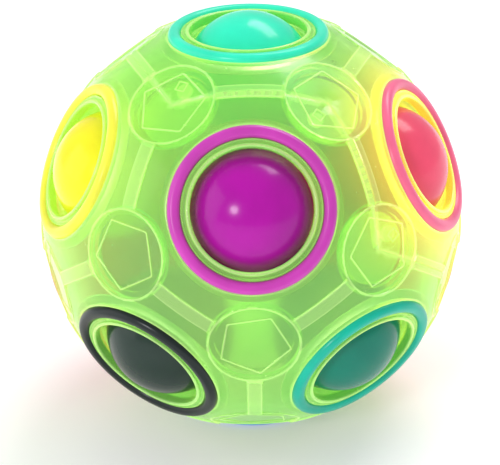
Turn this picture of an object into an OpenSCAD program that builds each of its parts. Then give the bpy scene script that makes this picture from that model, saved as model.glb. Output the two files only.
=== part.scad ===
// Puzzle ball: a hollow sphere in two snap-together halves, with twelve ringed holes.
// Eleven coloured balls sit behind the holes, round a loose core. One hole is empty, so
// a ball that is pressed in can roll round the core to it.
// The holes face the same ways as the twelve faces of a dodecahedron. Twenty flat round
// bosses stand at its corners, and thirty ribs lie along its edges.

/* [Balls] */
// Radius of the eleven coloured balls
ball_r = 10.3; // [8.6:0.1:12.4]
// Gap between neighbouring balls at rest
ball_gap = 6.05; // [5.2:0.05:7.3]
// How far the top of a ball at rest stands out of the sphere
ball_stand_out = 1.04; // [0.5:0.02:1.5]
// How far a ball can be pressed in before it meets the core
press_depth = 1.6; // [1:0.1:1.7]

/* [Shell] */
// Wall of the hollow sphere
shell_wall = 1.9; // [1.5:0.1:2.3]
// How much smaller than the balls the holes are, on the radius
hold_back = 0.9; // [0.7:0.05:1.1]
// Wall of the collar that goes down from a hole towards its ball
collar_wall = 1.3; // [1.1:0.1:1.5]
// Radius of the round bead on the collar's outer edge
bead_r = 0.35; // [0.25:0.05:0.4]
// Width of the rim between a hole and its ring
rim_w = 1.45; // [1.2:0.05:1.8]

/* [Rings] */
// Radius of a ring's round section
ring_section_r = 1; // [0.8:0.05:1.2]
// How far the middle of a ring's section is below the sphere
ring_sink = 0.3; // [0.2:0.05:0.4]
// How far a ring's foot goes down below its round section
ring_foot = 0.1; // [0.05:0.05:0.4]
// How much of a ring's crown is flat, so that the ball can stand on any ring
ring_land = 0.07; // [0.05:0.01:0.1]
// Plastic round the outside of a ring's seat
seat_wall = 0.8; // [0.7:0.1:1]
// Plastic under a ring's foot
seat_floor = 1.2; // [1:0.1:1.5]

/* [Bosses and ribs] */
// Gap between a boss and the ring seats near it
boss_gap = 1.1; // [0.7:0.1:1.6]
// How far the flat face of a boss is below the sphere at its middle
boss_drop = 0.85; // [0.8:0.05:1]
// How much smaller a boss is inside the wall, on the radius
boss_inset = 1.2; // [1:0.1:1.5]
// Thickness of a boss at its middle
boss_wall = 2.75; // [2.3:0.05:3]
// Width of the ribs
rib_w = 2.3; // [1.8:0.1:3]
// How far the ribs stand out of the sphere
rib_rise = 0.3; // [0.2:0.05:0.4]

/* [Snaps] */
// How much smaller than its boss's inner part a snap tongue is, on the radius
tongue_inset = 0.4; // [0.3:0.1:0.8]
// Thickness of a snap tongue
tongue_wall = 1; // [0.8:0.1:1.2]
// Radius of the catch peg on a tongue
peg_r = 1.2; // [1:0.1:1.4]
// How far a catch peg stands out of its tongue
peg_rise = 1.2; // [0.9:0.1:1.4]
// How far a catch peg is from the middle of its boss
peg_offset = 3.4; // [3:0.1:3.8]

/* [Core] */
// Wall of the hollow core
core_wall = 1.5; // [1.2:0.1:2.5]

/* [Clearances] */
// Gap between a ball at rest and the lower edge of its collar, along the hole
lip_gap = 0.25; // [0.2:0.05:0.4]
// Gap between the travelling ball and the collars it passes under
pass_gap = 0.3; // [0.2:0.05:0.4]
// Gap between the travelling ball and the core
core_gap = 0.2; // [0.15:0.05:0.3]
// Gap left between the core and a ball that is pressed right in
stop_gap = 0.1; // [0.1:0.05:0.2]
// Gap on each side of a ring's foot in its seat
seat_gap = 0.04; // [0.02:0.01:0.08]
// Gap round a catch peg in its hole, and beyond its end
peg_gap = 0.1; // [0.05:0.01:0.15]

/* [Hidden] */
$fn = 96;

// Each hole's [turn about Z from +X, height above the level plane], in degrees
tilt = atan(1 / 2);
step = 72;
MINT = [0, 90];
MAGENTA = [-90, tilt];
PINK = [-90 + step, tilt];
BLUE = [-90 + 2 * step, tilt];
WHITE = [-90 + 3 * step, tilt];
YELLOW = [-90 + 4 * step, tilt];
TEAL = [90 - 2 * step, -tilt];
ORANGE = [90 - step, -tilt];
VIOLET = [90, -tilt];
RED = [90 + step, -tilt];
BLACK = [90 + 2 * step, -tilt];
SKY = [0, -90];
HOLES = [MINT, MAGENTA, PINK, BLUE, WHITE, YELLOW, TEAL, ORANGE, VIOLET, RED, BLACK, SKY];
BLACK_HOLE = 10;

function way(a) = [cos(a[1]) * cos(a[0]), cos(a[1]) * sin(a[0]), sin(a[1])];
function angles(v) = [atan2(v[1], v[0]), asin(v[2] / norm(v))];
function unit(v) = v / norm(v);
WAYS = [for (h = HOLES) way(h)];

// Neighbouring holes are the pairs with the smallest angle between them
neighbour_cos = 1 / sqrt(5);
neighbour_angle = acos(neighbour_cos);
slack = 0.001;
function beside(a, b) = abs(a * b - neighbour_cos) < slack;

// A rib lies between two neighbouring holes, and a boss in the middle of three
last = len(HOLES) - 1;
RIBS = [
    for (i = [0 : last], j = [0 : last])
        if (i < j && beside(WAYS[i], WAYS[j])) [i, j]
];
BOSSES = [
    for (r = RIBS, k = [0 : last])
        if (k > r[1] && beside(WAYS[r[0]], WAYS[k]) && beside(WAYS[r[1]], WAYS[k]))
            [r[0], r[1], k]
];
function boss_way(b) = unit(WAYS[b[0]] + WAYS[b[1]] + WAYS[b[2]]);
boss_angle = acos(boss_way(BOSSES[0]) * WAYS[BOSSES[0][0]]);

// The front half has the pole's hole and its five neighbours, and the rear half the rest
pole = way(HOLES[BLACK_HOLE]);
function front_part(list) = [for (i = list) if (WAYS[i] * pole > neighbour_cos - slack) i];
function rear_part(list) = [for (i = list) if (WAYS[i] * pole < neighbour_cos - slack) i];

// The seam runs from boss to boss round the pole, in equal turns
seam_steps = 10;
level = unit(cross([0, 0, 1], pole));
upright = cross(pole, level);
function turn(v) = atan2(v * upright, v * level);
SEAM_WAYS = [
    for (b = BOSSES) if (len(front_part(b)) == 1 || len(front_part(b)) == 2) boss_way(b)
];
first_turn = min([for (v = SEAM_WAYS) turn(v)]);
SEAM = [
    for (n = [0 : seam_steps - 1])
        for (v = SEAM_WAYS)
            if (abs(turn(v) - first_turn - n * 360 / seam_steps) < 1) v
];

// Heights along a hole's own axis from the middle of the sphere, and radii round it
ball_place = (2 * ball_r + ball_gap) / (2 * sin(neighbour_angle / 2));
shell_r = ball_place + ball_r - ball_stand_out;
hole_r = ball_r - hold_back;
lip_h = ball_place + sqrt(pow(ball_r, 2) - pow(hole_r, 2)) + lip_gap;
ring_r = hole_r + rim_w + ring_section_r;
ring_h = sqrt(pow(shell_r - ring_sink, 2) - pow(ring_r, 2));
ring_top = ring_h + ring_section_r - ring_land;
foot_h = ring_h - ring_section_r - ring_foot;
groove_in = ring_r - ring_section_r - seat_gap;
groove_out = ring_r + ring_section_r + seat_gap;
seat_out = groove_out + seat_wall;
seat_h = foot_h - seat_floor;
// The bead stays below the ring's crown, and the rim slopes down from it to the ring
bead_below_ring = 0.1;
rim_dip = 0.15;
bead_h = ring_top - bead_below_ring - bead_r;
// A seat's edge is set a little below the sphere
seat_step = 0.12;
function sphere_h(r) = sqrt(pow(shell_r, 2) - pow(r, 2));

// How far solids that join reach into each other
cut_overlap = 0.3;
root_gap = 0.3;

// Heights along a boss's own axis from the middle of the sphere, and radii round it
boss_r = shell_r * sin(boss_angle - asin(seat_out / shell_r)) - boss_gap;
boss_top = shell_r - boss_drop;
boss_low = boss_top - boss_wall;
boss_inner_r = boss_r - boss_inset;
tongue_r = boss_inner_r - tongue_inset;

// A rib reaches from its middle past the edge of the boss at each end
rib_reach = norm(boss_way(BOSSES[0]) - boss_way(BOSSES[1])) * shell_r / 2 - boss_r / 2;
rib_depth = 1.4;

// The travelling ball passes under the collars, and the core fills what is left inside
pass_place = norm([hole_r, lip_h]) - pass_gap - ball_r;
core_reach = ball_place - ball_r - press_depth - stop_gap;
core_r = (core_reach + pass_place - ball_r - core_gap) / 2;
core_shift = core_reach - core_r;
core_at = -core_shift * way(VIOLET);

// The ball stands on the flat crown of the sky ring
stand_h = ring_top;
far = 3 * shell_r;

// Turn of the rear half's globe, which puts its edge line in the front half
rear_globe_turn = -120;
GREEN = [0.55, 0.95, 0.42, 0.6];

// Puts a shape that stands on the Z axis on the hole, boss or rib at these angles
module facing(a) {
    translate([0, 0, stand_h]) rotate([0, 90 - a[1], a[0]]) children();
}

// The same, turned so that its X axis points towards another direction
module facing_towards(v, target) {
    a = angles(v);
    local_x = [sin(a[1]) * cos(a[0]), sin(a[1]) * sin(a[0]), -cos(a[1])];
    local_y = [-sin(a[0]), cos(a[0]), 0];
    facing(a) rotate([0, 0, atan2(target * local_y, target * local_x)]) children();
}

// All the space on one side of the seam, out from the sphere's middle. The seam runs
// one way round as seen from the tip of the front half, and the other way from the rear.
module share(tip, corners) {
    translate([0, 0, stand_h]) polyhedron(
        points = concat([[0, 0, 0], far * tip], [for (v = corners) far * v]),
        faces = concat(
            [for (n = [0 : seam_steps - 1]) [0, 2 + n, 2 + (n + 1) % seam_steps]],
            [for (n = [0 : seam_steps - 1]) [1, 2 + (n + 1) % seam_steps, 2 + n]]
        )
    );
}

// The collar, rim and ring seat round one hole
module collar_section() {
    union() {
        polygon([
            [hole_r, lip_h],
            [hole_r + collar_wall, lip_h],
            [hole_r + collar_wall, seat_h],
            [seat_out, seat_h],
            [seat_out, sphere_h(seat_out) - seat_step],
            [groove_out, sphere_h(groove_out) - seat_step],
            [groove_out, foot_h],
            [groove_in, foot_h],
            [groove_in, bead_h],
            [hole_r + bead_r, bead_h - rim_dip],
            [hole_r, bead_h]
        ]);
        translate([hole_r + bead_r, bead_h]) circle(r = bead_r, $fn = 24);
    }
}

module collar(a) {
    facing(a) rotate_extrude() collar_section();
}

// A flat strip that stands out of the sphere between two holes
module rib(pair) {
    middle = unit(WAYS[pair[0]] + WAYS[pair[1]]);
    facing_towards(middle, cross(WAYS[pair[0]], WAYS[pair[1]]))
        translate([-rib_reach, -rib_w / 2, shell_r - rib_depth])
            cube([2 * rib_reach, rib_w, 2 * rib_depth]);
}

// The tongue that reaches under the other half, with its catch peg
module tongue(b, target) {
    facing_towards(boss_way(b), target) {
        translate([0, 0, boss_low - tongue_wall]) cylinder(r = tongue_r, h = tongue_wall);
        translate([-tongue_r / 2 - root_gap, -tongue_r / 2, boss_low - tongue_wall / 2])
            cube([tongue_r / 2, tongue_r, tongue_wall]);
        translate([peg_offset, 0, boss_low - tongue_wall / 2])
            cylinder(r = peg_r, h = tongue_wall / 2 + peg_rise, $fn = 32);
    }
}

module peg_hole(b, target) {
    facing_towards(boss_way(b), target)
        translate([peg_offset, 0, boss_low - tongue_wall / 2])
            cylinder(r = peg_r + peg_gap, h = tongue_wall / 2 + peg_rise + peg_gap, $fn = 32);
}

// A sphere round the middle, turned so that its own edge line is in the other half
module globe(r, own) {
    turned = shared([BLACK_HOLE], own) > 0 ? 0 : rear_globe_turn;
    translate([0, 0, stand_h]) rotate([0, 0, turned]) sphere(r = r);
}

// The sphere's wall with its ribs and inner bosses, for the holes in this list
module wall(own) {
    difference() {
        union() {
            difference() {
                union() {
                    globe(shell_r, own);
                    intersection() {
                        globe(shell_r + rib_rise, own);
                        union() {
                            for (r = RIBS) if (shared(r, own) > 0) rib(r);
                        }
                    }
                }
                globe(shell_r - shell_wall, own);
            }
            for (b = BOSSES) if (shared(b, own) > 0)
                facing_towards(boss_way(b), off_seam(b, own)) translate([0, 0, boss_low])
                    cylinder(r = boss_inner_r, h = boss_wall - cut_overlap);
        }
        for (i = own) facing(HOLES[i])
            cylinder(r = seat_out - cut_overlap, h = far);
        for (b = BOSSES) if (shared(b, own) > 0)
            facing_towards(boss_way(b), off_seam(b, own)) translate([0, 0, boss_top])
                cylinder(r = boss_r, h = shell_r);
    }
}

function shared(list, own) = len([for (i = list, k = own) if (i == k) i]);
function other_hole(list, own) = [for (i = list) if (shared([i], own) == 0) WAYS[i]][0];
function own_hole(list, own) = [for (i = list) if (shared([i], own) == 1) WAYS[i]][0];
// The way a boss's own edge line faces: a hole in the other half, or any hole inside one
function off_seam(b, own) = shared(b, own) < 3 ? other_hole(b, own) : WAYS[b[0]];

// Adds the collars and snaps of one half to its share of the wall
module finish_half(own) {
    difference() {
        union() {
            children();
            for (i = own) collar(HOLES[i]);
            for (b = BOSSES) if (shared(b, own) == 2) tongue(b, other_hole(b, own));
        }
        for (b = BOSSES) if (shared(b, own) == 1) peg_hole(b, own_hole(b, own));
    }
}

module front_shell_half() {
    own = front_part([0 : last]);
    color(GREEN) finish_half(own) intersection() {
        wall(own);
        share(pole, SEAM);
    }
}

module rear_shell_half() {
    own = rear_part([0 : last]);
    color(GREEN) finish_half(own) intersection() {
        wall(own);
        share(-pole, [for (n = [1 : seam_steps]) SEAM[seam_steps - n]]);
    }
}

// A coloured ring: a round crown with a flat land, on a foot that fills the seat
module ring(a) {
    facing(a) rotate_extrude() difference() {
        union() {
            translate([ring_r, ring_h]) circle(r = ring_section_r, $fn = 32);
            translate([ring_r - ring_section_r, foot_h])
                square([2 * ring_section_r, ring_section_r + ring_foot]);
        }
        translate([ring_r - ring_section_r, ring_top])
            square([2 * ring_section_r, ring_section_r]);
    }
}

module ball(a, place) {
    facing(a) translate([0, 0, place]) sphere(r = ball_r);
}

// Half of the hollow core: the upper one with side 1, the lower one with side -1
module core_half(side) {
    translate([0, 0, stand_h] + core_at) difference() {
        sphere(r = core_r);
        sphere(r = core_r - core_wall);
        translate([-far / 2, -far / 2, side > 0 ? -far : 0]) cube(far);
    }
}

module mint_ring() { color([0.2, 0.97, 0.76]) ring(MINT); }
module magenta_ring() { color([0.81, 0.33, 0.75]) ring(MAGENTA); }
module pink_ring() { color([1, 0.5, 0.65]) ring(PINK); }
module blue_ring() { color([0.1, 0.25, 0.85]) ring(BLUE); }
module white_ring() { color([0.95, 0.95, 0.93]) ring(WHITE); }
module yellow_ring() { color([1, 1, 0.35]) ring(YELLOW); }
module teal_ring() { color([0, 0.74, 0.63]) ring(TEAL); }
module orange_ring() { color([1, 0.5, 0.08]) ring(ORANGE); }
module violet_ring() { color([0.45, 0.2, 0.75]) ring(VIOLET); }
module red_ring() { color([0.85, 0.08, 0.1]) ring(RED); }
module black_ring() { color([0.14, 0.18, 0.18]) ring(BLACK); }
module sky_ring() { color([0.4, 0.75, 0.95]) ring(SKY); }

module mint_ball() { color([0.2, 0.97, 0.76]) ball(MINT, ball_place); }
module magenta_ball() { color([0.7, 0, 0.65]) ball(MAGENTA, ball_place); }
module pink_ball() { color([0.95, 0.35, 0.5]) ball(PINK, ball_place); }
module blue_ball() { color([0.1, 0.25, 0.85]) ball(BLUE, ball_place); }
module white_ball() { color([0.95, 0.95, 0.93]) ball(WHITE, ball_place); }
module yellow_ball() { color([1, 0.95, 0.2]) ball(YELLOW, ball_place); }
module teal_ball() { color([0, 0.53, 0.43]) ball(TEAL, ball_place); }
module orange_ball() { color([1, 0.5, 0.08]) ball(ORANGE, ball_place); }
module violet_ball() { color([0.45, 0.2, 0.75]) ball(VIOLET, pass_place); }
module red_ball() { color([0.85, 0.08, 0.1]) ball(RED, ball_place); }
module black_ball() { color([0.17, 0.23, 0.21]) ball(BLACK, ball_place); }

module core_upper_half() { color([0.85, 0.85, 0.82]) core_half(1); }
module core_lower_half() { color([0.8, 0.8, 0.78]) core_half(-1); }

front_shell_half();
rear_shell_half();
mint_ring();
magenta_ring();
pink_ring();
blue_ring();
white_ring();
yellow_ring();
teal_ring();
orange_ring();
violet_ring();
red_ring();
black_ring();
sky_ring();
mint_ball();
magenta_ball();
pink_ball();
blue_ball();
white_ball();
yellow_ball();
teal_ball();
orange_ball();
violet_ball();
red_ball();
black_ball();
core_upper_half();
core_lower_half();
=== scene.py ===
"""Looks for a puzzle ball: a translucent green sphere with twelve ringed holes and captive coloured balls.

The sphere's two halves, the rings, the balls and the core are worked out here as fine surfaces around the
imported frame. Sizes are in metres. The sphere's middle, ball size and standing height come from the frame.
"""

import math

import bmesh
import bpy
import numpy as np
from bpy.props import FloatProperty, FloatVectorProperty, PointerProperty
from mathutils import Matrix, Vector


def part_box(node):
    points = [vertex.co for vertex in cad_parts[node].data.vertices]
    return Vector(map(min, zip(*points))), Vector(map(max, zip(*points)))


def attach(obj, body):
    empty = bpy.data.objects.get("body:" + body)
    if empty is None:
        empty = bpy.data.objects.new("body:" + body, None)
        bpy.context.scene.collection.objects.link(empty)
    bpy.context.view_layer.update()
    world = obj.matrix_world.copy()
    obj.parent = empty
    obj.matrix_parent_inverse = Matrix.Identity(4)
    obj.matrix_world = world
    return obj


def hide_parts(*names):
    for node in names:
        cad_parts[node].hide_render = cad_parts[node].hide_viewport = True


bl_info = {
    "name": "Puzzle Ball",
    "version": (1, 0, 0),
    "blender": (4, 5, 0),
    "location": "View3D > Sidebar > Puzzle Ball",
    "description": "Builds a translucent puzzle ball with coloured rings and captive balls",
    "category": "Mesh",
}

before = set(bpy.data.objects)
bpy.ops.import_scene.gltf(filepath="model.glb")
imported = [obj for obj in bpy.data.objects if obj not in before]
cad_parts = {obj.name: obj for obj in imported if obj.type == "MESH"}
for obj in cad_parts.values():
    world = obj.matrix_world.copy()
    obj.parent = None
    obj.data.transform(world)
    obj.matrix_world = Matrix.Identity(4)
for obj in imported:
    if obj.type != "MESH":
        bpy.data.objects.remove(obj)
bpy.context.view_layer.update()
RING_TOP = (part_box("mint_ring")[1].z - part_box("sky_ring")[0].z) / 2
CENTRE = np.array([0.0, 0.0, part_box("sky_ring")[0].z + RING_TOP])
BALL_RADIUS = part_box("mint_ball")[1].x
BALL_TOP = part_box("mint_ball")[1].z - CENTRE[2]

MM = 0.001

# Gaps and small sizes by which the halves, rings and balls fit together
RING_SINK = 0.3 * MM
SEAT_GAP = 0.04 * MM
SEAT_WALL = 0.8 * MM
SEAT_FLOOR = 1.2 * MM
SEAT_STEP = 0.12 * MM
LIP_GAP = 0.25 * MM
LIP_ROUND = 0.06 * MM
BEAD_DROP = 0.1 * MM
RIM_DIP = 0.12 * MM
TONGUE_INSET = 0.4 * MM
TONGUE_WALL = 1.0 * MM
PEG_RADIUS = 1.2 * MM
PEG_RISE = 1.2 * MM
PEG_OFFSET = 3.4 * MM
CORE_WALL = 1.5 * MM
SMALL_GAP = 0.02 * MM
SMALL_BEVEL = 0.15 * MM

# The reach of the balls' painted warm light into the wall, and how far away the studio lights stand
PAINTED_LIGHT_REACH = 6 * MM
LIGHT_DISTANCE = 1.5

# Angles of the holes: turn about Z from +X, and height above the level plane, in degrees
TILT = math.degrees(math.atan(0.5))
HOLE_ANGLES = {
    "mint": (0, 90),
    "magenta": (-90, TILT),
    "pink": (-18, TILT),
    "blue": (54, TILT),
    "white": (126, TILT),
    "yellow": (198, TILT),
    "teal": (-54, -TILT),
    "orange": (18, -TILT),
    "violet": (90, -TILT),
    "red": (162, -TILT),
    "black": (234, -TILT),
    "sky": (0, -90),
}
EMPTY_HOLE = "sky"
FRONT_POLE = "black"
NEIGHBOUR_COS = 1 / math.sqrt(5)


def way(name):
    """Unit vector from the sphere's middle through a hole."""
    turn, height = (math.radians(a) for a in HOLE_ANGLES[name])
    return np.array([math.cos(height) * math.cos(turn), math.cos(height) * math.sin(turn), math.sin(height)])


def unit(v):
    """The vector v made one long, along its last axis."""
    return v / np.linalg.norm(v, axis=-1, keepdims=True)


WAYS = {name: way(name) for name in HOLE_ANGLES}


def beside(a, b):
    """Whether two holes are neighbours, which is when their directions are 63.4 degrees apart."""
    return a != b and abs(WAYS[a] @ WAYS[b] - NEIGHBOUR_COS) < 1e-6


def neighbours(name):
    """The five holes round a hole."""
    return [other for other in WAYS if beside(name, other)]


HALVES = {
    "front_shell_half": [FRONT_POLE] + neighbours(FRONT_POLE),
    "rear_shell_half": [n for n in WAYS if n != FRONT_POLE and not beside(n, FRONT_POLE)],
}
BOSSES = [
    (a, b, c)
    for i, a in enumerate(WAYS)
    for j, b in enumerate(WAYS)
    for k, c in enumerate(WAYS)
    if i < j < k and beside(a, b) and beside(b, c) and beside(a, c)
]


class PuzzleSizes(bpy.types.PropertyGroup):
    """Sizes of the shell, rings and bosses."""

    shell_radius: FloatProperty(
        name="Shell radius", description="Outer radius of the sphere", default=34.606 * MM, unit="LENGTH"
    )
    shell_wall: FloatProperty(
        name="Shell wall", description="Thickness of the sphere's wall", default=1.9 * MM, unit="LENGTH"
    )
    hole_radius: FloatProperty(
        name="Hole radius", description="Inner radius of the twelve holes", default=9.4 * MM, unit="LENGTH"
    )
    collar_wall: FloatProperty(
        name="Collar wall", description="Wall of the collar below a hole", default=1.3 * MM, unit="LENGTH"
    )
    bead_radius: FloatProperty(
        name="Bead radius", description="Radius of the bead round a hole", default=0.35 * MM, unit="LENGTH"
    )
    ring_radius: FloatProperty(
        name="Ring radius", description="Radius of a ring's centre line", default=11.85 * MM, unit="LENGTH"
    )
    ring_section: FloatProperty(
        name="Ring section", description="Half the width of a ring", default=1.0 * MM, unit="LENGTH"
    )
    ring_foot: FloatProperty(
        name="Ring foot", description="How far a ring goes down into its seat", default=1.1 * MM, unit="LENGTH"
    )
    boss_radius: FloatProperty(
        name="Boss radius", description="Radius of the flat round bosses", default=7.314 * MM, unit="LENGTH"
    )
    boss_drop: FloatProperty(
        name="Boss drop",
        description="How far the flat face of a boss is below the sphere at its middle",
        default=0.85 * MM,
        unit="LENGTH",
    )
    boss_wall: FloatProperty(
        name="Boss wall", description="Thickness of a boss at its middle", default=2.75 * MM, unit="LENGTH"
    )
    boss_inner: FloatProperty(
        name="Boss inner radius", description="Radius of a boss inside the wall", default=6.11 * MM, unit="LENGTH"
    )
    pentagon_radius: FloatProperty(
        name="Pentagon radius",
        description="From the middle of a pentagon to its corners",
        default=5.75 * MM,
        unit="LENGTH",
    )
    rib_width: FloatProperty(
        name="Rib width", description="Width of the ribs between bosses", default=2.3 * MM, unit="LENGTH"
    )
    rib_rise: FloatProperty(
        name="Rib rise", description="How far ribs stand out of the sphere", default=0.3 * MM, unit="LENGTH"
    )


class PuzzleColours(bpy.types.PropertyGroup):
    """Colours of the plastic."""

    shell: FloatVectorProperty(
        name="Shell",
        description="Translucent plastic of the sphere",
        default=(0.60, 0.87, 0.27),
        subtype="COLOR",
        size=3,
    )
    shell_cloud: FloatVectorProperty(
        name="Shell clouds",
        description="Darker clouds in the sphere's plastic",
        default=(0.48, 0.80, 0.26),
        subtype="COLOR",
        size=3,
    )
    # Glow: the fluorescent plastic's brightness, given as a painted glow that the whole wall gives off whatever the
    # light.
    glow: FloatVectorProperty(
        name="Glow",
        description="What the fluorescent plastic gives off",
        default=(0.11, 0.34, 0.05),
        subtype="COLOR",
        size=3,
    )
    # Edge: the colour of the painted highlights on ridges, rims and edges.
    edge: FloatVectorProperty(
        name="Edge",
        description="Paler look of ridges and edges",
        default=(0.68, 1.0, 0.36),
        subtype="COLOR",
        size=3,
    )
    core: FloatVectorProperty(
        name="Core", description="Pale plastic of the core", default=(0.80, 0.80, 0.76), subtype="COLOR", size=3
    )


# Each hole's ring colour and ball colour, as red, green and blue parts of light
RING_COLOURS = {
    "mint": (0.03, 0.88, 0.56),
    "magenta": (0.62, 0.05, 0.48),
    "pink": (1.0, 0.16, 0.32),
    "blue": (0.01, 0.06, 0.62),
    "white": (0.88, 0.88, 0.84),
    "yellow": (1.0, 0.95, 0.07),
    "teal": (0.0, 0.50, 0.36),
    "orange": (1.0, 0.20, 0.01),
    "violet": (0.16, 0.03, 0.48),
    "red": (0.68, 0.01, 0.015),
    "black": (0.005, 0.012, 0.012),
    "sky": (0.12, 0.50, 0.90),
}
BALL_COLOURS = {
    **{name: colour for name, colour in RING_COLOURS.items() if name != EMPTY_HOLE},
    "magenta": (0.45, 0.0, 0.37),
    "pink": (0.95, 0.09, 0.18),
    "teal": (0.0, 0.21, 0.145),
    "black": (0.018, 0.038, 0.03),
    "yellow": (1.0, 0.90, 0.02),
}
# Painted warm light: the colour of a ball behind the green wall, painted into the wall's glow in front of where the
# ball rests
PAINTED_BALL_LIGHT = {
    "orange": (1.5, 0.45, 0.0),
    "pink": (1.7, 0.45, 0.0),
    "yellow": (0.25, 0.2, 0.0),
    "red": (1.2, 0.1, 0.0),
}


# ---------------------------------------------------------------------------------------------------------
# Surfaces
# ---------------------------------------------------------------------------------------------------------


def grid_faces(rows, columns, start, closed):
    """Quads between neighbouring points of a grid that is stored row by row, wrapped along the columns if closed."""
    across = np.arange(columns if closed else columns - 1)
    r, c = np.meshgrid(np.arange(rows - 1), across, indexing="ij")
    after = (c + 1) % columns
    quads = np.stack([r * columns + c, r * columns + after, (r + 1) * columns + after, (r + 1) * columns + c], -1)
    return quads.reshape(-1, 4) + start


def mesh_piece(name, grids, sharp_angle=32.0, weld=1.5e-6):
    """One object from several grids of points, (rows, columns, 3), whether the columns close up, and how much
    painted highlight each point gets, from 0 to 1.

    Grids that share points are welded, faces with no area go, and all faces are turned outwards."""
    points, faces, painted_highlights, start = [], [], [], 0
    for grid, closed, glow in grids:
        points.append(grid.reshape(-1, 3))
        painted_highlights.append(np.broadcast_to(glow, grid.shape[:2]).reshape(-1))
        faces.append(grid_faces(grid.shape[0], grid.shape[1], start, closed))
        start += points[-1].shape[0]
    mesh = bpy.data.meshes.new(name)
    mesh.from_pydata(np.concatenate(points) + CENTRE, [], np.concatenate(faces).tolist())
    # The painted highlights go into a point attribute that the shell's material reads.
    layer = mesh.attributes.new("painted_highlight_mask", "FLOAT", "POINT")
    layer.data.foreach_set("value", np.concatenate(painted_highlights).astype(np.float32))
    shape = bmesh.new()
    shape.from_mesh(mesh)
    bmesh.ops.remove_doubles(shape, verts=shape.verts, dist=weld)
    bmesh.ops.dissolve_degenerate(shape, edges=shape.edges, dist=weld / 10)
    bmesh.ops.recalc_face_normals(shape, faces=shape.faces)
    shape.to_mesh(mesh)
    shape.free()
    mesh.shade_smooth()
    mesh.set_sharp_from_angle(angle=math.radians(sharp_angle))
    piece = bpy.data.objects.new(name, mesh)
    bpy.context.scene.collection.objects.link(piece)
    return piece


def hole_frame(name):
    """Three directions for a hole: towards the middle of one of its edges, along that edge, and out of the hole."""
    out = WAYS[name]
    first = WAYS[neighbours(name)[0]]
    side = unit(first - (first @ out) * out)
    return np.stack([side, np.cross(out, side), out])


def turned(profile, axes, steps):
    """Carries a profile of (radius, height) points round a hole's own axis: each point goes round a circle."""
    angle = np.linspace(0, 2 * math.pi, steps, endpoint=False)
    circle = np.cos(angle)[:, None] * axes[0] + np.sin(angle)[:, None] * axes[1]
    profile = np.asarray(profile)
    return profile[:, 0, None, None] * circle[None] + profile[:, 1, None, None] * axes[2]


def arc(middle, radius, start, end, steps):
    """Points on an arc of a circle in the (radius, height) plane, with angles in degrees from the radius axis."""
    angle = np.radians(np.linspace(start, end, steps))
    return np.stack([middle[0] + radius * np.cos(angle), middle[1] + radius * np.sin(angle)], -1)


EDGE_ANGLE = math.atan(2 / (1 + math.sqrt(5)))
HALF_EDGE = math.acos(unit(sum(WAYS[n] for n in BOSSES[0])) @ unit(WAYS[BOSSES[0][0]] + WAYS[BOSSES[0][1]]))
ARC_STEPS = 18
EDGE_STEPS = 18
SECTOR = math.radians(72)


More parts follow.
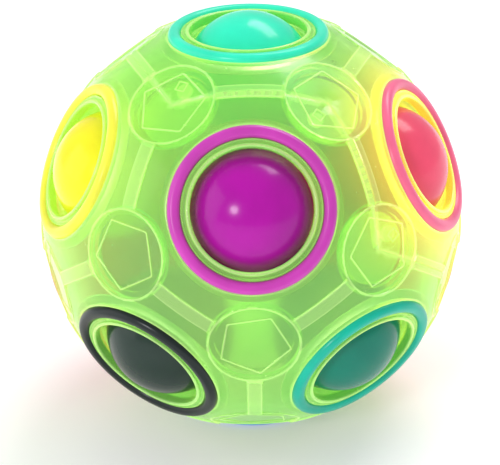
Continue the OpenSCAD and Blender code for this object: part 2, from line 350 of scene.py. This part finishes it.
class ShellShape:
    """Works out the two halves' surfaces from the sizes, as distances from the sphere's middle."""

    def __init__(self, sizes):
        self.s = sizes
        self.inner_radius = sizes.shell_radius - sizes.shell_wall
        self.boss_angle = math.asin(sizes.boss_radius / sizes.shell_radius)
        self.boss_top = sizes.shell_radius - sizes.boss_drop
        self.boss_low = self.boss_top - sizes.boss_wall
        self.ring_height = math.sqrt((sizes.shell_radius - RING_SINK) ** 2 - sizes.ring_radius**2)
        self.foot = self.ring_height - sizes.ring_foot
        self.lip = BALL_TOP - BALL_RADIUS + math.sqrt(BALL_RADIUS**2 - sizes.hole_radius**2) + LIP_GAP
        self.groove = (
            sizes.ring_radius - sizes.ring_section - SEAT_GAP,
            sizes.ring_radius + sizes.ring_section + SEAT_GAP,
        )
        self.seat_out = self.groove[1] + SEAT_WALL
        self.seat_low = self.foot - SEAT_FLOOR
        self.bead = RING_TOP - BEAD_DROP - sizes.bead_radius
        self.face_start = self.groove[1] + 0.16 * MM
        self.border = self._border()

    def _border(self):
        """One hole's border in its own axes: five straight edges, and an arc round each boss between them.

        An edge is a great circle. An arc keeps the boss's angle from the boss's middle. Returns unit vectors
        all the way round, and a mask of those that lie on an edge."""
        middle = np.array([math.sin(EDGE_ANGLE), 0, math.cos(EDGE_ANGLE)])
        along = np.array([0.0, 1.0, 0.0])
        reach = np.linspace(-1, 1, EDGE_STEPS + 1) * (HALF_EDGE - self.boss_angle)
        edge = np.cos(reach)[:, None] * middle + np.sin(reach)[:, None] * along
        corner = math.cos(HALF_EDGE) * middle + math.sin(HALF_EDGE) * along
        back = unit(middle - (middle @ corner) * corner)
        inwards = np.cross(back, corner)
        inwards = inwards * np.sign(inwards @ (np.array([0, 0, 1.0]) - corner))
        turn = np.linspace(0, math.pi / 3, ARC_STEPS + 1)[1:]
        ring = np.cos(turn)[:, None] * back + np.sin(turn)[:, None] * inwards
        after = math.cos(self.boss_angle) * corner + math.sin(self.boss_angle) * ring
        before = after[::-1] * np.array([1, -1, 1])
        sector = np.concatenate([before, edge, after[:-1]])
        on_edge = np.concatenate(
            [np.zeros(ARC_STEPS, bool), np.ones(EDGE_STEPS + 1, bool), np.zeros(ARC_STEPS - 1, bool)]
        )
        turns = np.arange(5) * SECTOR
        c, s = np.cos(turns), np.sin(turns)
        x = c[:, None] * sector[:, 0] - s[:, None] * sector[:, 1]
        y = s[:, None] * sector[:, 0] + c[:, None] * sector[:, 1]
        z = np.broadcast_to(sector[:, 2], x.shape)
        return np.stack([x, y, z], -1).reshape(-1, 3), np.tile(on_edge, 5)

    def edge_distance(self, local):
        """Distance along the sphere, square to the nearest edge between two bosses, of directions in a hole's
        axes. An edge is part of a great circle."""
        turn = np.arctan2(local[..., 1], local[..., 0])
        nearest = (turn + SECTOR / 2) % SECTOR - SECTOR / 2
        lean = np.hypot(local[..., 0], local[..., 1]) * np.cos(nearest)
        off = np.arcsin(np.clip(local[..., 2] * math.sin(EDGE_ANGLE) - lean * math.cos(EDGE_ANGLE), -1, 1))
        return np.abs(off) * self.s.shell_radius

    def rib_height(self, local):
        """Height of the outer surface over the sphere: a rib is flat to its side, then drops over a short slope."""
        slope = 0.12 * MM
        rise = np.clip((self.s.rib_width / 2 - self.edge_distance(local)) / slope + 0.5, 0, 1)
        return self.s.rib_rise * rise * rise * (3 - 2 * rise)

    def rib_painted_highlight(self, local):
        """How much painted highlight a rib gets: a little on its flat top, and most in a thin band along its sides.
        """
        side = self.s.rib_width / 2 - 0.08 * MM
        band = np.exp(-(((self.edge_distance(local) - side) / (0.13 * MM)) ** 2))
        return 0.4 * self.rib_height(local) / self.s.rib_rise + 0.6 * band

    def with_seam(self, grid, hole, own):
        """Lowers the outer points that lie on the seam, so that the two halves meet in a fine groove."""
        ways = unit(grid)
        for other in neighbours(hole):
            if other not in own:
                distance = ways @ unit(WAYS[hole] - WAYS[other]) * self.s.shell_radius
                grid = grid - ways * (0.16 * MM * np.clip(1 - distance / (0.14 * MM), 0, 1))[..., None]
        return grid

    def seam_painted_highlight(self, grid, hole, own, glow):
        """How much painted highlight a boss gets, with a painted bright band on each side of the seam that crosses
        it.
        """
        ways = unit(grid)
        glow = np.broadcast_to(glow, grid.shape[:2])
        for other in neighbours(hole):
            if other not in own:
                distance = np.abs(ways @ unit(WAYS[hole] - WAYS[other])) * self.s.shell_radius
                glow = np.maximum(glow, 0.7 * np.clip(1.5 - distance / (0.4 * MM), 0, 1))
        return glow

    def face_grid(self, start_radius, height, insets, shares):
        """A hole's field between its border and a circle round the hole, as directions in the hole's axes.

        The first rows are set in from the border by fixed distances, so that a rib's side lies between two
        rows. The other rows share out what is left, down to the circle."""
        border, on_edge = self.border
        turn = np.arctan2(border[:, 1], border[:, 0])
        edge_tilt = np.arccos(np.clip(border[:, 2], -1, 1))
        nearest = (turn + SECTOR / 2) % SECTOR - SECTOR / 2
        a, b = math.sin(EDGE_ANGLE), np.cos(nearest) * math.cos(EDGE_ANGLE)
        start = math.asin(start_radius / height)
        rows = []
        for inset in insets:
            off = inset / self.s.shell_radius
            square = np.arccos(np.clip(math.sin(off) / np.hypot(a, b), -1, 1)) - np.arctan2(b, a)
            room = edge_tilt - start
            set_in = edge_tilt - np.minimum(off, room * inset / (insets[-1] * 1.25))
            rows.append(np.where(on_edge, square, set_in))
        last = rows[-1]
        rows += [last + (start - last) * share for share in shares]
        tilt = np.stack(rows)
        return np.stack([np.sin(tilt) * np.cos(turn), np.sin(tilt) * np.sin(turn), np.cos(tilt)], -1)

    def outer_face(self):
        """The outer field: the sphere, with the ribs standing out of it along the edges, and its painted highlights.
        """
        insets = np.array([0, 0.15, 0.85, 1.0, 1.09, 1.15, 1.21, 1.35]) * MM
        local = self.face_grid(self.face_start, self.s.shell_radius, insets, [0.25, 0.5, 0.75, 0.92, 1])
        glow = self.rib_painted_highlight(local)
        # A painted highlight along the field's edge next to the ring's seat.
        glow[-1] = 0.6
        return local * (self.s.shell_radius + self.rib_height(local))[..., None], glow

    def inner_face(self):
        """The inner field: a plain sphere, from the border to the outside of the ring's seat."""
        local = self.face_grid(self.seat_out, self.inner_radius, np.array([0, 0.1]) * MM, [0.5, 1])
        return local * self.inner_radius

    def collar_profile(self):
        """From the sphere over the seat's edge, down and up the ring's groove, over the bead, down the hole and
        back up the outside of the collar to the sphere's inner wall, as (radius, height) points."""
        s = self.s
        outer, inner = s.shell_radius, self.inner_radius
        sphere = [(r, math.sqrt(outer**2 - r**2)) for r in (self.face_start, self.face_start - 0.06 * MM)]
        low_in, low_out = self.groove
        step = math.sqrt(outer**2 - low_out**2) - SEAT_STEP
        before = [
            sphere[0],
            (sphere[1][0], sphere[1][1] - 0.01 * MM),
            (low_out + 0.05 * MM, step + 0.03 * MM),
            (low_out, step - 0.03 * MM),
            (low_out, self.foot),
            (low_in, self.foot),
            (low_in, self.bead - 0.02 * MM),
            (low_in - 0.08 * MM, self.bead + 0.03 * MM),
            (s.hole_radius + 2 * s.bead_radius + 0.35 * MM, self.bead - RIM_DIP),
        ]
        bead = arc((s.hole_radius + s.bead_radius, self.bead), s.bead_radius, -12, 180, 8)
        lip = arc((s.hole_radius + LIP_ROUND, self.lip + LIP_ROUND), LIP_ROUND, 180, 270, 4)
        wall = s.hole_radius + s.collar_wall
        foot = arc((wall - LIP_ROUND, self.lip + LIP_ROUND), LIP_ROUND, 270, 360, 3)
        after = [
            (wall, self.seat_low),
            (self.seat_out, self.seat_low),
            (self.seat_out, math.sqrt(inner**2 - self.seat_out**2)),
        ]
        # Painted highlights on the seat's edge, the groove's inner edge and the bead round the hole.
        glow = [0.6, 1, 1, 0.8, 0, 0, 0, 0.3, 0, *[0.0, 0.2, 0.6, 0.9, 0.9, 0.6, 0.2, 0.0], *[0.0] * 10]
        return np.concatenate([before, bead, lip, foot, after]), np.array(glow)[:, None]

    def boss_axes(self, boss, hole):
        """Three directions for one hole's third of a boss: towards the hole, across, and out of the boss."""
        out = unit(sum(WAYS[n] for n in boss))
        side = unit(WAYS[hole] - (WAYS[hole] @ out) * out)
        return np.stack([side, np.cross(out, side), out])

    def boss_third(self, boss, hole, pentagon_turn):
        """A third of a boss, from its rim to its middle, as outer and inner grids.

        The outer one has a thin raised rim, a flat face and a pentagon drawn by a low ridge. A pentagon's edge
        is its inner radius divided by the cosine of the angle from the middle of that edge."""
        s = self.s
        axes = self.boss_axes(boss, hole)
        turn = np.linspace(-math.pi / 3, math.pi / 3, 2 * ARC_STEPS + 1)
        first = self.boss_axes(boss, boss[0])
        shift = math.atan2(axes[0] @ first[1], axes[0] @ first[0])
        corner = (turn + shift - pentagon_turn) % SECTOR - SECTOR / 2
        pentagon = s.pentagon_radius * math.cos(SECTOR / 2) / np.cos(corner)
        full = np.ones_like(turn)
        radii, heights, inner, painted_highlights = [], [], [], []
        low = self.boss_low
        high_inner = math.sqrt(self.inner_radius**2 - s.boss_inner**2)

        def row(radius, rise, inside, glow=0.0):
            radii.append(radius * full)
            heights.append(self.boss_top + rise)
            inner.append(inside)
            painted_highlights.append(glow)

        rim, ridge, width = 0.18 * MM, 0.14 * MM, 0.11 * MM
        on_sphere = [math.sqrt(self.inner_radius**2 - (s.boss_radius - d * MM) ** 2) for d in (0.05, 0.27, 0.42, 0.8)]
        # The raised rim and the pentagon's ridge get painted highlights.
        row(s.boss_radius - 0.05 * MM, rim, on_sphere[0], 0.8)
        row(s.boss_radius - 0.27 * MM, rim, on_sphere[1], 0.8)
        row(s.boss_radius - 0.42 * MM, 0, on_sphere[2])
        row(s.boss_radius - 0.80 * MM, 0, on_sphere[3])
        row(s.boss_inner + 0.01 * MM, 0, high_inner)
        row(s.boss_inner - 0.01 * MM, 0, low)
        row(pentagon + 1.8 * width, 0, low)
        row(pentagon + 0.7 * width, ridge, low, 0.9)
        row(pentagon - 0.7 * width, ridge, low, 0.9)
        row(pentagon - 1.8 * width, 0, low)
        row(0.6 * pentagon, 0, low)
        row(0.2 * pentagon, 0, low)
        row(0 * pentagon, 0, low)
        circle = np.cos(turn)[:, None] * axes[0] + np.sin(turn)[:, None] * axes[1]
        radii = np.stack(radii)[..., None] * circle
        outer_grid = radii + np.array(heights)[:, None, None] * axes[2]
        inner_grid = radii + np.array(inner)[:, None, None] * axes[2]
        rim_way = math.sin(self.boss_angle) * circle + math.cos(self.boss_angle) * axes[2]
        local = rim_way @ hole_frame(hole).T
        top = rim_way * (s.shell_radius + self.rib_height(local))[:, None]
        outer_grid = np.concatenate([top[None], outer_grid])
        inner_grid = np.concatenate([rim_way[None] * self.inner_radius, inner_grid])
        # The row on the sphere at the boss's edge gets a painted highlight too.
        return outer_grid, inner_grid, np.array([0.7, *painted_highlights])[:, None]

    def half(self, own):
        """All the grids of one half: six fields with their collars, the bosses round them and the seam's walls."""
        grids = []
        (outer, outer_painted_highlight), inner = self.outer_face(), self.inner_face()
        collar, collar_painted_highlight = self.collar_profile()
        turn = np.arctan2(self.border[0][:, 1], self.border[0][:, 0])
        for hole in own:
            axes = hole_frame(hole)
            field = self.with_seam(outer @ axes, hole, own)
            grids.append((field, True, outer_painted_highlight))
            grids.append((inner @ axes, True, 0))
            circle = np.cos(turn)[:, None] * axes[0] + np.sin(turn)[:, None] * axes[1]
            turned_collar = collar[:, 0, None, None] * circle[None] + collar[:, 1, None, None] * axes[2]
            grids.append((turned_collar, True, collar_painted_highlight))
            for other in neighbours(hole):
                if other not in own:
                    # The seam's wall gets a faint painted highlight.
                    grids.append((self.edge_wall(field[0], inner[0] @ axes, axes, other), False, 0.3))
        for boss in BOSSES:
            for hole in set(boss) & set(own):
                outside, inside, glow = self.boss_third(boss, hole, PENTAGON_TURNS.get(boss, DEFAULT_PENTAGON_TURN))
                glow = self.seam_painted_highlight(outside, hole, own, glow)
                outside = self.with_seam(outside, hole, own)
                grids += [(outside, False, glow), (inside, False, 0)]
                axes = self.boss_axes(boss, hole)
                for column, side in ((0, -1), (-1, 1)):
                    other = next(n for n in boss if n != hole and side * (WAYS[n] @ axes[1]) > 0)
                    if other not in own:
                        # The seam's wall gets a faint painted highlight.
                        grids.append((np.stack([outside[:, column], inside[:, column]]), False, 0.3))
        return grids

    def edge_wall(self, outer_row, inner_row, axes, other):
        """The wall of the seam along one edge, between the outer and the inner border."""
        middle = unit(axes[2] + WAYS[other])
        near = unit(outer_row) @ middle > math.cos(HALF_EDGE - self.boss_angle) - 1e-6
        start = int(np.argmax(near & ~np.roll(near, 1)))
        pick = (start + np.arange(int(near.sum()))) % len(near)
        return np.stack([outer_row[pick], inner_row[pick]])

    def tongues(self, own):
        """Closed tongues and catch pegs that this half puts under the other half, at the bosses on the seam."""
        grids = []
        for boss in BOSSES:
            mine = [n for n in boss if n in own]
            if len(mine) != 2:
                continue
            other = next(n for n in boss if n not in own)
            axes = self.boss_axes(boss, other)
            radius = self.s.boss_inner - TONGUE_INSET
            top, low = self.boss_low - SMALL_GAP, self.boss_low - TONGUE_WALL
            bevel = SMALL_BEVEL
            plate = [
                (0, top),
                (radius - bevel, top),
                (radius, top - bevel),
                (radius, low + bevel),
                (radius - bevel, low),
                (0, low),
            ]
            # The tongue gets a faint painted highlight, the peg below a stronger one.
            grids.append((turned(plate, axes, 64), True, 0.2))
            rise = self.boss_low + PEG_RISE
            start = self.boss_low + SMALL_GAP
            peg = [(0, rise), (PEG_RADIUS - bevel, rise), (PEG_RADIUS, rise - bevel), (PEG_RADIUS, start), (0, start)]
            grids.append((turned(peg, axes, 32) + PEG_OFFSET * axes[0], True, 0.5))
        return grids

    def catch_marks(self, own):
        """The low square ridge that shows where a catch peg sits, on each seam boss's single third: a circle
        carried round a square."""
        grids = []
        for boss in BOSSES:
            mine = [n for n in boss if n in own]
            if len(mine) != 1:
                continue
            axes = self.boss_axes(boss, mine[0])
            square = np.stack([unit(axes[0] + axes[1]), unit(axes[1] - axes[0]), axes[2]])
            section = arc((1.1 * MM, self.boss_top), 0.15 * MM, 0, 360, 13)
            # The ridge gets a painted highlight.
            grids.append((turned(section, square, 4) + PEG_OFFSET * axes[0], True, 0.6))
        return grids


# Turn of each boss's pentagon about the boss, from the direction of its first hole
DEFAULT_PENTAGON_TURN = math.radians(9)
PENTAGON_TURNS = {
    ("magenta", "teal", "black"): math.radians(45),
    ("magenta", "yellow", "black"): math.radians(21),
    ("magenta", "pink", "teal"): math.radians(25),
    ("mint", "magenta", "pink"): math.radians(-22),
}


def ring_profile(shape):
    """A ring's section, as (radius, height) points: a round crown with a flat land, on a foot with small bevels."""
    s = shape.s
    r, w, h = s.ring_radius, s.ring_section, shape.ring_height
    land = math.degrees(math.asin((RING_TOP - h) / w))
    crown = arc((r, h), w, 0, land, 9)
    other = arc((r, h), w, 180 - land, 180, 9)
    bevel = SMALL_BEVEL
    foot = shape.foot + 0.01 * MM
    left = [(r - w, foot + bevel), (r - w + bevel, foot)]
    right = [(r + w - bevel, foot), (r + w, foot + bevel)]
    return np.concatenate([crown, other, left, right, crown[:1]])


def sphere_grid(axes, radius, rows, columns, line_rise=0.0):
    """A sphere round its own middle: rows are circles at even angles from the pole, with a faint raised parting
    line where the two halves of the mould met."""
    tilt = np.linspace(0, math.pi, rows)
    reach = radius - line_rise + line_rise * np.exp(-(((tilt - math.pi / 2) / 0.012) ** 2))
    return turned(np.stack([reach * np.sin(tilt), reach * np.cos(tilt)], -1), axes, columns)


# ---------------------------------------------------------------------------------------------------------
# Materials
# ---------------------------------------------------------------------------------------------------------


def moulded_group():
    """A node group for moulded plastic: cloudy colour, uneven gloss, and the height of fine marks."""
    if "Moulded plastic" in bpy.data.node_groups:
        return bpy.data.node_groups["Moulded plastic"]
    group = bpy.data.node_groups.new("Moulded plastic", "ShaderNodeTree")
    face = group.interface
    for name, kind, value in (
        ("Colour", "NodeSocketColor", (0.8, 0.8, 0.8, 1)),
        ("Second colour", "NodeSocketColor", (0.7, 0.7, 0.7, 1)),
        ("Cloud scale", "NodeSocketFloat", 120.0),
        ("Gloss low", "NodeSocketFloat", 0.12),
        ("Gloss high", "NodeSocketFloat", 0.25),
        ("Grain scale", "NodeSocketFloat", 2500.0),
    ):
        socket = face.new_socket(name=name, in_out="INPUT", socket_type=kind)
        socket.default_value = value
    face.new_socket(name="Colour", in_out="OUTPUT", socket_type="NodeSocketColor")
    face.new_socket(name="Roughness", in_out="OUTPUT", socket_type="NodeSocketFloat")
    face.new_socket(name="Height", in_out="OUTPUT", socket_type="NodeSocketFloat")
    nodes, links = group.nodes, group.links
    come, go = nodes.new("NodeGroupInput"), nodes.new("NodeGroupOutput")
    place = nodes.new("ShaderNodeTexCoord")
    cloud = nodes.new("ShaderNodeTexNoise")
    cloud.inputs["Detail"].default_value = 4
    links.new(place.outputs["Object"], cloud.inputs["Vector"])
    links.new(come.outputs["Cloud scale"], cloud.inputs["Scale"])
    mix = nodes.new("ShaderNodeMix")
    mix.data_type = "RGBA"
    spread = nodes.new("ShaderNodeMapRange")
    spread.inputs["From Min"].default_value = 0.35
    spread.inputs["From Max"].default_value = 0.65
    links.new(cloud.outputs["Fac"], spread.inputs["Value"])
    links.new(spread.outputs["Result"], mix.inputs["Factor"])
    links.new(come.outputs["Colour"], mix.inputs[6])
    links.new(come.outputs["Second colour"], mix.inputs[7])
    links.new(mix.outputs[2], go.inputs["Colour"])
    grain = nodes.new("ShaderNodeTexNoise")
    grain.inputs["Detail"].default_value = 3
    links.new(place.outputs["Object"], grain.inputs["Vector"])
    links.new(come.outputs["Grain scale"], grain.inputs["Scale"])
    gloss = nodes.new("ShaderNodeMapRange")
    links.new(grain.outputs["Fac"], gloss.inputs["Value"])
    links.new(come.outputs["Gloss low"], gloss.inputs["To Min"])
    links.new(come.outputs["Gloss high"], gloss.inputs["To Max"])
    links.new(gloss.outputs["Result"], go.inputs["Roughness"])
    links.new(grain.outputs["Fac"], go.inputs["Height"])
    return group


def plastic(name, colour, second, cloud_scale, gloss, grain_scale, bump, **settings):
    """A plastic from the moulded group, with its constant values set on the shader itself."""
    material = bpy.data.materials.new(name)
    material.use_nodes = True
    nodes, links = material.node_tree.nodes, material.node_tree.links
    shader = nodes["Principled BSDF"]
    group = nodes.new("ShaderNodeGroup")
    group.node_tree = moulded_group()
    group.inputs["Colour"].default_value = (*colour, 1)
    group.inputs["Second colour"].default_value = (*second, 1)
    group.inputs["Cloud scale"].default_value = cloud_scale
    group.inputs["Gloss low"].default_value = gloss[0]
    group.inputs["Gloss high"].default_value = gloss[1]
    group.inputs["Grain scale"].default_value = grain_scale
    links.new(group.outputs["Colour"], shader.inputs["Base Color"])
    links.new(group.outputs["Roughness"], shader.inputs["Roughness"])
    marks = nodes.new("ShaderNodeBump")
    marks.inputs["Strength"].default_value = bump
    marks.inputs["Distance"].default_value = 0.05 * MM
    links.new(group.outputs["Height"], marks.inputs["Height"])
    links.new(marks.outputs["Normal"], shader.inputs["Normal"])
    for socket, value in settings.items():
        shader.inputs[socket.replace("_", " ")].default_value = value
    return material


def ball_middle(name):
    """The middle of a ball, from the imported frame."""
    low, high = (np.array(corner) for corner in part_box(f"{name}_ball"))
    return (low + high) / 2


def paint_wall_light(piece, glow):
    """Writes the painted light that each point of the wall gives off: the plastic's painted glow, and painted warm
    light in the colour of the balls behind it.

    A ball's painted light falls off as a bell curve of the distance between the point and the ball's surface."""
    mesh = piece.data
    points = np.empty(len(mesh.vertices) * 3, np.float32)
    mesh.vertices.foreach_get("co", points)
    points = points.reshape(-1, 3)
    light = np.tile(np.array([*glow, 1.0]), (len(points), 1))
    for name, warm in PAINTED_BALL_LIGHT.items():
        distance = np.linalg.norm(points - ball_middle(name), axis=1) - BALL_RADIUS
        light[:, :3] += np.exp(-((distance / PAINTED_LIGHT_REACH) ** 2))[:, None] * np.array(warm)
    layer = mesh.attributes.new("painted_wall_glow", "FLOAT_COLOR", "POINT")
    layer.data.foreach_set("color", np.clip(light, 0, 1).astype(np.float32).ravel())


def paint_glow_and_highlights(material, edge):
    """Gives the wall its painted glow from the painted_wall_glow attribute, and paints highlights on its ridges from
    the painted_highlight_mask attribute: a paler colour and a brighter glow.
    """
    nodes, links = material.node_tree.nodes, material.node_tree.links
    shader = nodes["Principled BSDF"]
    mask = nodes.new("ShaderNodeAttribute")
    mask.attribute_name = "painted_highlight_mask"
    light = nodes.new("ShaderNodeAttribute")
    light.attribute_name = "painted_wall_glow"
    plain = shader.inputs["Base Color"].links[0].from_socket
    # Painted highlights: where the mask is one, the base colour turns to the edge colour, and the glow to a brighter
    # edge colour.
    for socket, start, bright in (
        ("Base Color", plain, edge),
        ("Emission Color", light.outputs["Color"], shade(edge, 1.2)),
    ):
        mix = nodes.new("ShaderNodeMix")
        mix.data_type = "RGBA"
        links.new(mask.outputs["Fac"], mix.inputs["Factor"])
        links.new(start, mix.inputs[6])
        mix.inputs[7].default_value = (*bright, 1)
        links.new(mix.outputs[2], shader.inputs[socket])


def shade(colour, factor):
    """A colour made lighter or darker by a factor."""
    return tuple(min(1.0, c * factor) for c in colour)


def dress(piece, material, slot, body, *nodes):
    """Gives a finished piece its material and its body, and hides the CAD nodes it stands for. The slot argument is
    not used.
    """
    piece.data.materials.append(material)
    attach(piece, body)
    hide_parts(*nodes)
    return piece


# ---------------------------------------------------------------------------------------------------------
# Operators
# ---------------------------------------------------------------------------------------------------------


class PUZZLEBALL_OT_shell(bpy.types.Operator):
    """Build the two translucent halves of the sphere"""

    bl_idname = "puzzleball.shell"
    bl_label = "Shell halves"

    def execute(self, context):
        shape = ShellShape(context.scene.puzzle_sizes)
        colours = context.scene.puzzle_colours
        material = plastic(
            "translucent_green",
            tuple(colours.shell),
            tuple(colours.shell_cloud),
            90.0,
            (0.20, 0.30),
            700.0,
            0.02,
            Transmission_Weight=0.84,
            IOR=1.40,
            # The wall's painted glow, its painted warm light and its painted highlights come through the emission.
            Emission_Strength=0.34,
            Specular_IOR_Level=0.4,
            Coat_Weight=0.18,
            Coat_Roughness=0.08,
        )
        paint_glow_and_highlights(material, tuple(colours.edge))
        for name, own in HALVES.items():
            grids = shape.half(own) + shape.tongues(own) + shape.catch_marks(own)
            piece = mesh_piece(name.replace("shell", "translucent"), grids)
            paint_wall_light(piece, tuple(colours.glow))
            dress(piece, material, "shell", "shell", name)
        return {"FINISHED"}


class PUZZLEBALL_OT_rings(bpy.types.Operator):
    """Build the twelve coloured rings"""

    bl_idname = "puzzleball.rings"
    bl_label = "Rings"

    def execute(self, context):
        shape = ShellShape(context.scene.puzzle_sizes)
        profile = ring_profile(shape)
        for name, colour in RING_COLOURS.items():
            piece = mesh_piece(f"{name}_crown_ring", [(turned(profile, hole_frame(name), 192), True, 0)])
            material = plastic(
                f"{name}_ring_plastic", colour, shade(colour, 0.86), 160.0, (0.26, 0.36), 1800.0, 0.04,
                Specular_IOR_Level=0.3, Coat_Weight=0.12, Coat_Roughness=0.15,
            )
            dress(piece, material, f"{name}_ring", "shell", f"{name}_ring")
        return {"FINISHED"}


class PUZZLEBALL_OT_balls(bpy.types.Operator):
    """Build the eleven coloured balls"""

    bl_idname = "puzzleball.balls"
    bl_label = "Balls"

    def execute(self, context):
        for name, colour in BALL_COLOURS.items():
            grid = sphere_grid(hole_frame(name)[[2, 0, 1]], BALL_RADIUS, 97, 128, 0.02 * MM)
            piece = mesh_piece(f"{name}_captive_ball", [(grid + (ball_middle(name) - CENTRE), True, 0)])
            material = plastic(
                f"{name}_ball_plastic", colour, shade(colour, 0.88), 140.0, (0.18, 0.26), 1600.0, 0.02,
                Specular_IOR_Level=0.24, Coat_Weight=0.12, Coat_Roughness=0.1,
            )
            dress(piece, material, f"{name}_ball", f"{name}_ball", f"{name}_ball")
        return {"FINISHED"}


class PUZZLEBALL_OT_core(bpy.types.Operator):
    """Build the two halves of the loose core"""

    bl_idname = "puzzleball.core"
    bl_label = "Core"

    def execute(self, context):
        colour = tuple(context.scene.puzzle_colours.core)
        material = plastic(
            "core_plastic", colour, shade(colour, 0.9), 150.0, (0.4, 0.55), 2200.0, 0.25, Coat_Weight=0.05
        )
        low, high = (np.array(corner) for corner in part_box("core_upper_half"))
        middle = np.array([(low[0] + high[0]) / 2, (low[1] + high[1]) / 2, low[2]])
        radius = high[2] - low[2]
        for side, node in ((1, "core_upper_half"), (-1, "core_lower_half")):
            edge = SMALL_BEVEL
            outside = arc((0, 0), radius, 90, math.degrees(edge / radius), 40)
            inside = arc((0, 0), radius - CORE_WALL, 1.0, 90, 24)
            lip = [(radius - edge, 0), (radius - CORE_WALL, 0)]
            profile = np.concatenate([outside, lip, inside]) * np.array([1, side])
            cup = turned(profile, np.eye(3), 96) + (middle - CENTRE)
            piece = mesh_piece(node.replace("half", "cup"), [(cup, True, 0)])
            dress(piece, material, "core", "core", node)
        return {"FINISHED"}


class PUZZLEBALL_OT_stage(bpy.types.Operator):
    """Build the floor, the studio light and the camera"""

    bl_idname = "puzzleball.stage"
    bl_label = "Stage"

    def execute(self, context):
        scene = context.scene
        scene.view_settings.view_transform = "Standard"
        world = bpy.data.worlds.new("studio")
        scene.world = world
        world.use_nodes = True
        world.node_tree.nodes["Background"].inputs["Color"].default_value = (1, 1, 1, 1)
        world.node_tree.nodes["Background"].inputs["Strength"].default_value = 0.6
        bpy.ops.mesh.primitive_plane_add(size=6)
        floor = context.object
        floor.name = "floor"
        paper_with_painted_shadow = bpy.data.materials.new("paper_with_painted_shadow")
        paper_with_painted_shadow.use_nodes = True
        nodes, links = paper_with_painted_shadow.node_tree.nodes, paper_with_painted_shadow.node_tree.links
        shader = nodes["Principled BSDF"]
        shader.inputs["Roughness"].default_value = 0.9
        shader.inputs["Emission Color"].default_value = (1, 1, 0.99, 1)
        shader.inputs["Emission Strength"].default_value = 0.25
        # A painted shadow: the floor is darker and pinker under the sphere, out to five centimetres from the floor's
        # middle, tinted against the green light that comes through the shell.
        place, far = nodes.new("ShaderNodeTexCoord"), nodes.new("ShaderNodeVectorMath")
        far.operation = "LENGTH"
        links.new(place.outputs["Object"], far.inputs[0])
        spread = nodes.new("ShaderNodeMapRange")
        spread.interpolation_type = "SMOOTHSTEP"
        spread.inputs["From Min"].default_value = 0.01
        spread.inputs["From Max"].default_value = 0.05
        links.new(far.outputs["Value"], spread.inputs["Value"])
        mix = nodes.new("ShaderNodeMix")
        mix.data_type = "RGBA"
        mix.inputs[6].default_value = (0.66, 0.53, 0.70, 1)
        mix.inputs[7].default_value = (0.93, 0.95, 0.945, 1)
        links.new(spread.outputs["Result"], mix.inputs["Factor"])
        links.new(mix.outputs[2], shader.inputs["Base Color"])
        floor.data.materials.append(paper_with_painted_shadow)
        self.light("top_softbox", (0.311, 0.443, 0.841), "RECTANGLE", (1.0, 0.5), 11.0)
        self.light("front_lamp", (-0.499, -0.766, 0.406), "DISK", (0.34, 0.34), 6.0)
        self.light("left_panel", (-0.93, -0.1, 0.30), "RECTANGLE", (1.2, 1.2), 5.0)
        self.camera(scene)
        return {"FINISHED"}

    def light(self, name, direction, shape, size, power):
        """A soft light in this direction from the sphere's middle, which it faces."""
        data = bpy.data.lights.new(name, "AREA")
        data.shape = shape
        data.size, data.size_y = size
        data.energy = power
        lamp = bpy.data.objects.new(name, data)
        bpy.context.scene.collection.objects.link(lamp)
        lamp.location = Vector(direction).normalized() * LIGHT_DISTANCE + Vector(CENTRE)
        lamp.rotation_euler = (Vector(CENTRE) - lamp.location).to_track_quat("-Z", "Y").to_euler()

    def camera(self, scene):
        """A long lens that looks down at the sphere, rolled a little, with a small shift for the framing."""
        data = bpy.data.cameras.new("camera")
        data.lens = 142.1
        data.shift_x = -0.0021
        data.shift_y = -0.0328
        camera = bpy.data.objects.new("camera", data)
        scene.collection.objects.link(camera)
        height, turn = math.radians(24.9), math.radians(-0.3)
        out = Vector((math.sin(turn) * math.cos(height), -math.cos(turn) * math.cos(height), math.sin(height)))
        camera.location = Vector(CENTRE) + out * 0.3294
        aim = (-out).to_track_quat("-Z", "Y").to_matrix().to_4x4()
        roll = Matrix.Rotation(math.radians(-0.9), 4, "Z")
        camera.rotation_euler = (aim @ roll).to_euler()
        scene.camera = camera


class PUZZLEBALL_PT_panel(bpy.types.Panel):
    """Lists the puzzle ball's pieces"""

    bl_label = "Puzzle Ball"
    bl_idname = "PUZZLEBALL_PT_panel"
    bl_space_type = "VIEW_3D"
    bl_region_type = "UI"
    bl_category = "Puzzle Ball"

    def draw(self, context):
        for operator in OPERATORS:
            self.layout.operator(operator.bl_idname)
        for group in (context.scene.puzzle_sizes, context.scene.puzzle_colours):
            for name in group.bl_rna.properties.keys():
                if name not in ("rna_type", "name"):
                    self.layout.prop(group, name)


OPERATORS = (
    PUZZLEBALL_OT_shell,
    PUZZLEBALL_OT_rings,
    PUZZLEBALL_OT_balls,
    PUZZLEBALL_OT_core,
    PUZZLEBALL_OT_stage,
)
CLASSES = (PuzzleSizes, PuzzleColours, *OPERATORS, PUZZLEBALL_PT_panel)


def register():
    """Registers the classes and adds the settings to the scene."""
    for cls in CLASSES:
        bpy.utils.register_class(cls)
    bpy.types.Scene.puzzle_sizes = PointerProperty(type=PuzzleSizes)
    bpy.types.Scene.puzzle_colours = PointerProperty(type=PuzzleColours)


def unregister():
    """Removes the settings and the classes."""
    del bpy.types.Scene.puzzle_colours
    del bpy.types.Scene.puzzle_sizes
    for cls in reversed(CLASSES):
        bpy.utils.unregister_class(cls)


def main():
    """Builds every piece and the stage."""
    register()
    bpy.ops.puzzleball.shell()
    bpy.ops.puzzleball.rings()
    bpy.ops.puzzleball.balls()
    bpy.ops.puzzleball.core()
    bpy.ops.puzzleball.stage()


if __name__ == "__main__":
    main()
